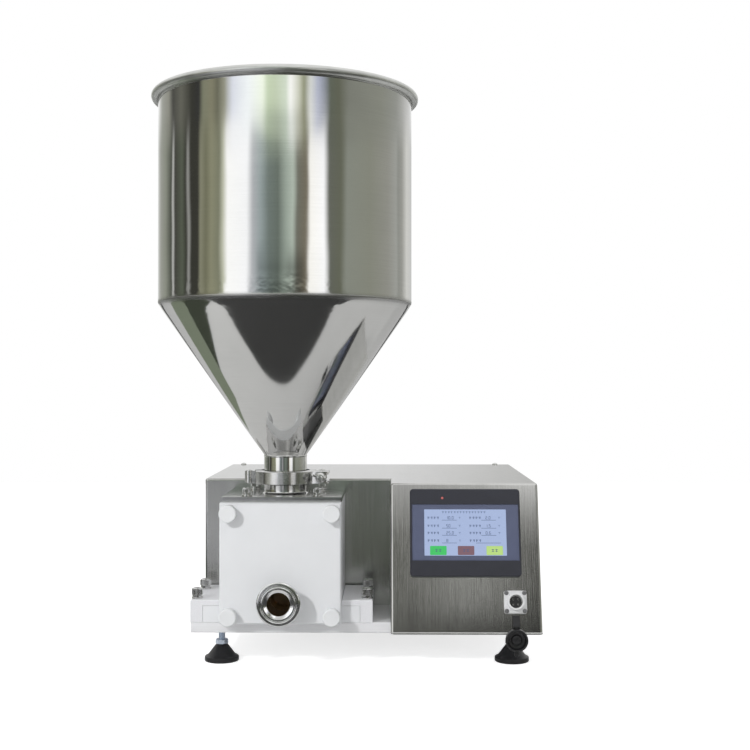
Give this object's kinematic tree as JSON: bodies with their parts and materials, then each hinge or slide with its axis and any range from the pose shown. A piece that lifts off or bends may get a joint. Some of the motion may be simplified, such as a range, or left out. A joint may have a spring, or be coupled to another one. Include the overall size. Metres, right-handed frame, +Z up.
{
  "type": "piston liquid filler",
  "caption": "Bench-top piston filler: conical hopper clamped on a white valve block with a front outlet, and an L-shaped housing with a leaning touch-screen panel.",
  "frame": {"origin": "centre of the bounding box, on the floor plane the feet stand on", "axes": "+Z up, -Y towards the operator (outlet and touch screen), +X to the operator's right"},
  "size_m": [0.456, 0.4791, 0.666],
  "materials": {
    "polished_steel": "polished",
    "brushed_sheet": "brushed",
    "plate_steel": "ground",
    "fastener_steel": "bright",
    "white_plastic": "machined",
    "black_rubber": "matt",
    "white_silicone": "matt",
    "black_plastic": "moulded",
    "screen_frame": "moulded",
    "screen_face": "gloss",
    "machined_steel": "machined",
    "machined_aluminium": "machined",
    "motor_paint": "satin"
  },
  "bodies": {
    "piston_carriage": {"piston": "machined_steel", "piston_seals": "white_silicone", "piston_rod": "machined_steel", "crosshead": "machined_aluminium"},
    "ball_screw": {"ball_screw": "machined_steel", "screw_pulley": "machined_aluminium"},
    "motor_rotor": {"motor_pulley": "machined_aluminium"},
    "valve_plug": {"valve_plug": "machined_steel"},
    "knob_washer_1": {"knob_washer_1": "white_plastic"},
    "thumb_screw_1": {"thumb_screw_1": "white_plastic"},
    "knob_washer_2": {"knob_washer_2": "white_plastic"},
    "thumb_screw_2": {"thumb_screw_2": "white_plastic"},
    "knob_washer_3": {"knob_washer_3": "white_plastic"},
    "thumb_screw_3": {"thumb_screw_3": "white_plastic"},
    "knob_washer_4": {"knob_washer_4": "white_plastic"},
    "thumb_screw_4": {"thumb_screw_4": "white_plastic"},
    "foot_pad_front_left": {"foot_pad_front_left": "black_rubber"},
    "foot_stud_front_left": {"foot_stud_front_left": "fastener_steel"},
    "foot_pad_front_right": {"foot_pad_front_right": "black_rubber"},
    "foot_stud_front_right": {"foot_stud_front_right": "fastener_steel"},
    "foot_pad_rear_left": {"foot_pad_rear_left": "black_rubber"},
    "foot_stud_rear_left": {"foot_stud_rear_left": "fastener_steel"},
    "foot_pad_rear_right": {"foot_pad_rear_right": "black_rubber"},
    "foot_stud_rear_right": {"foot_stud_rear_right": "fastener_steel"},
    "swing_bolt": {"swing_bolt": "fastener_steel"},
    "clamp_washer": {"clamp_washer": "fastener_steel"},
    "wing_nut": {"wing_nut": "fastener_steel"},
    "dust_cap": {"dust_cap": "black_rubber"},
    "rocker_switch": {"rocker_switch": "black_plastic"},
    "machine": {"hopper_bowl": "polished_steel", "hopper_cone": "polished_steel", "top_plate": "polished_steel", "outlet_ferrule": "polished_steel", "clamp_half_front": "polished_steel", "clamp_half_rear": "polished_steel", "housing_cover": "brushed_sheet", "rear_panel": "brushed_sheet", "base_plate": "plate_steel", "gib_left": "plate_steel", "gib_right": "plate_steel", "gib_bolts": "fastener_steel", "top_plate_bolts": "fastener_steel", "cover_screws": "fastener_steel", "socket_screws": "fastener_steel", "clamp_pins": "fastener_steel", "socket_shell": "fastener_steel", "valve_block": "white_plastic", "valve_cover": "white_plastic", "drive_belt": "black_rubber", "clamp_gasket": "white_silicone", "power_inlet": "black_plastic", "socket_insert": "black_plastic", "screen_housing": "screen_frame", "screen_glass": "screen_face", "cylinder_sleeve": "machined_steel", "guide_rods": "machined_steel", "drive_frame": "machined_aluminium", "power_supply": "machined_aluminium", "valve_gearmotor": "motor_paint", "servo_motor": "motor_paint"}
  },
  "joints": [
    {"name": "piston_slide", "type": "slide", "parent": "machine", "child": "piston_carriage", "axis": [0, 1, 0], "range_m": [0, 0.07]},
    {"name": "screw_spin", "type": "hinge", "parent": "machine", "child": "ball_screw", "pos_m": [-0.07, 0.1105, 0.135], "axis": [0, 1, 0], "range_deg": [-2525, 5]},
    {"name": "motor_spin", "type": "hinge", "parent": "machine", "child": "motor_rotor", "pos_m": [0.1173, 0.1605, 0.135], "axis": [0, 1, 0], "range_deg": [-3786, 6]},
    {"name": "valve_turn", "type": "hinge", "parent": "machine", "child": "valve_plug", "pos_m": [-0.07, -0.0815, 0.15], "axis": [0, 1, 0], "range_deg": [0, 90]},
    {"name": "thumb_screw_1_travel", "type": "slide", "parent": "machine", "child": "knob_washer_1", "axis": [0, -1, 0], "range_m": [0, 0.014]},
    {"name": "thumb_screw_1_turn", "type": "hinge", "parent": "knob_washer_1", "child": "thumb_screw_1", "pos_m": [-0.1285, -0.1555, 0.0605], "axis": [0, -1, 0], "range_deg": [-2, 5042]},
    {"name": "thumb_screw_2_travel", "type": "slide", "parent": "machine", "child": "knob_washer_2", "axis": [0, -1, 0], "range_m": [0, 0.014]},
    {"name": "thumb_screw_2_turn", "type": "hinge", "parent": "knob_washer_2", "child": "thumb_screw_2", "pos_m": [-0.1285, -0.1555, 0.177], "axis": [0, -1, 0], "range_deg": [-2, 5042]},
    {"name": "thumb_screw_3_travel", "type": "slide", "parent": "machine", "child": "knob_washer_3", "axis": [0, -1, 0], "range_m": [0, 0.014]},
    {"name": "thumb_screw_3_turn", "type": "hinge", "parent": "knob_washer_3", "child": "thumb_screw_3", "pos_m": [-0.0115, -0.1555, 0.0605], "axis": [0, -1, 0], "range_deg": [-2, 5042]},
    {"name": "thumb_screw_4_travel", "type": "slide", "parent": "machine", "child": "knob_washer_4", "axis": [0, -1, 0], "range_m": [0, 0.014]},
    {"name": "thumb_screw_4_turn", "type": "hinge", "parent": "knob_washer_4", "child": "thumb_screw_4", "pos_m": [-0.0115, -0.1555, 0.177], "axis": [0, -1, 0], "range_deg": [-2, 5042]},
    {"name": "foot_front_left_travel", "type": "slide", "parent": "machine", "child": "foot_pad_front_left", "axis": [0, 0, 1], "range_m": [-0.006, 0.006]},
    {"name": "foot_front_left_turn", "type": "hinge", "parent": "foot_pad_front_left", "child": "foot_stud_front_left", "pos_m": [-0.1423, -0.1075, 0.022], "axis": [0, 0, 1], "range_deg": [-1730, 1730]},
    {"name": "foot_front_right_travel", "type": "slide", "parent": "machine", "child": "foot_pad_front_right", "axis": [0, 0, 1], "range_m": [-0.006, 0.006]},
    {"name": "foot_front_right_turn", "type": "hinge", "parent": "foot_pad_front_right", "child": "foot_stud_front_right", "pos_m": [0.1965, -0.1075, 0.022], "axis": [0, 0, 1], "range_deg": [-1730, 1730]},
    {"name": "foot_rear_left_travel", "type": "slide", "parent": "machine", "child": "foot_pad_rear_left", "axis": [0, 0, 1], "range_m": [-0.006, 0.006]},
    {"name": "foot_rear_left_turn", "type": "hinge", "parent": "foot_pad_rear_left", "child": "foot_stud_rear_left", "pos_m": [-0.1423, 0.2015, 0.022], "axis": [0, 0, 1], "range_deg": [-1730, 1730]},
    {"name": "foot_rear_right_travel", "type": "slide", "parent": "machine", "child": "foot_pad_rear_right", "axis": [0, 0, 1], "range_m": [-0.006, 0.006]},
    {"name": "foot_rear_right_turn", "type": "hinge", "parent": "foot_pad_rear_right", "child": "foot_stud_rear_right", "pos_m": [0.1965, 0.2015, 0.022], "axis": [0, 0, 1], "range_deg": [-1730, 1730]},
    {"name": "swing_bolt_swing", "type": "hinge", "parent": "machine", "child": "swing_bolt", "pos_m": [-0.027, -0.0695, 0.213], "axis": [0, 0, 1], "range_deg": [0, 90]},
    {"name": "wing_nut_travel", "type": "slide", "parent": "swing_bolt", "child": "clamp_washer", "axis": [0, -1, 0], "range_m": [0, 0.006]},
    {"name": "wing_nut_turn", "type": "hinge", "parent": "clamp_washer", "child": "wing_nut", "pos_m": [-0.027, -0.1045, 0.213], "axis": [0, -1, 0], "range_deg": [-2, 2162]},
    {"name": "dust_cap_swing", "type": "hinge", "parent": "machine", "child": "dust_cap", "pos_m": [0.1978, -0.14315, 0.0596], "axis": [-1, 0, 0], "range_deg": [0, 100]},
    {"name": "rocker_tilt", "type": "hinge", "parent": "machine", "child": "rocker_switch", "pos_m": [0.162, 0.236, 0.108], "axis": [1, 0, 0], "range_deg": [-18, 0]}
  ],
  "couplings": [
    {"joint": "screw_spin", "follows": "piston_slide", "rad_per_m": -628.32},
    {"joint": "motor_spin", "follows": "piston_slide", "rad_per_m": -942.48},
    {"joint": "thumb_screw_1_turn", "follows": "thumb_screw_1_travel", "rad_per_m": 6283.2},
    {"joint": "thumb_screw_2_turn", "follows": "thumb_screw_2_travel", "rad_per_m": 6283.2},
    {"joint": "thumb_screw_3_turn", "follows": "thumb_screw_3_travel", "rad_per_m": 6283.2},
    {"joint": "thumb_screw_4_turn", "follows": "thumb_screw_4_travel", "rad_per_m": 6283.2},
    {"joint": "foot_front_left_turn", "follows": "foot_front_left_travel", "rad_per_m": 5026.5},
    {"joint": "foot_front_right_turn", "follows": "foot_front_right_travel", "rad_per_m": 5026.5},
    {"joint": "foot_rear_left_turn", "follows": "foot_rear_left_travel", "rad_per_m": 5026.5},
    {"joint": "foot_rear_right_turn", "follows": "foot_rear_right_travel", "rad_per_m": 5026.5},
    {"joint": "wing_nut_turn", "follows": "wing_nut_travel", "rad_per_m": 6283.2}
  ]
}
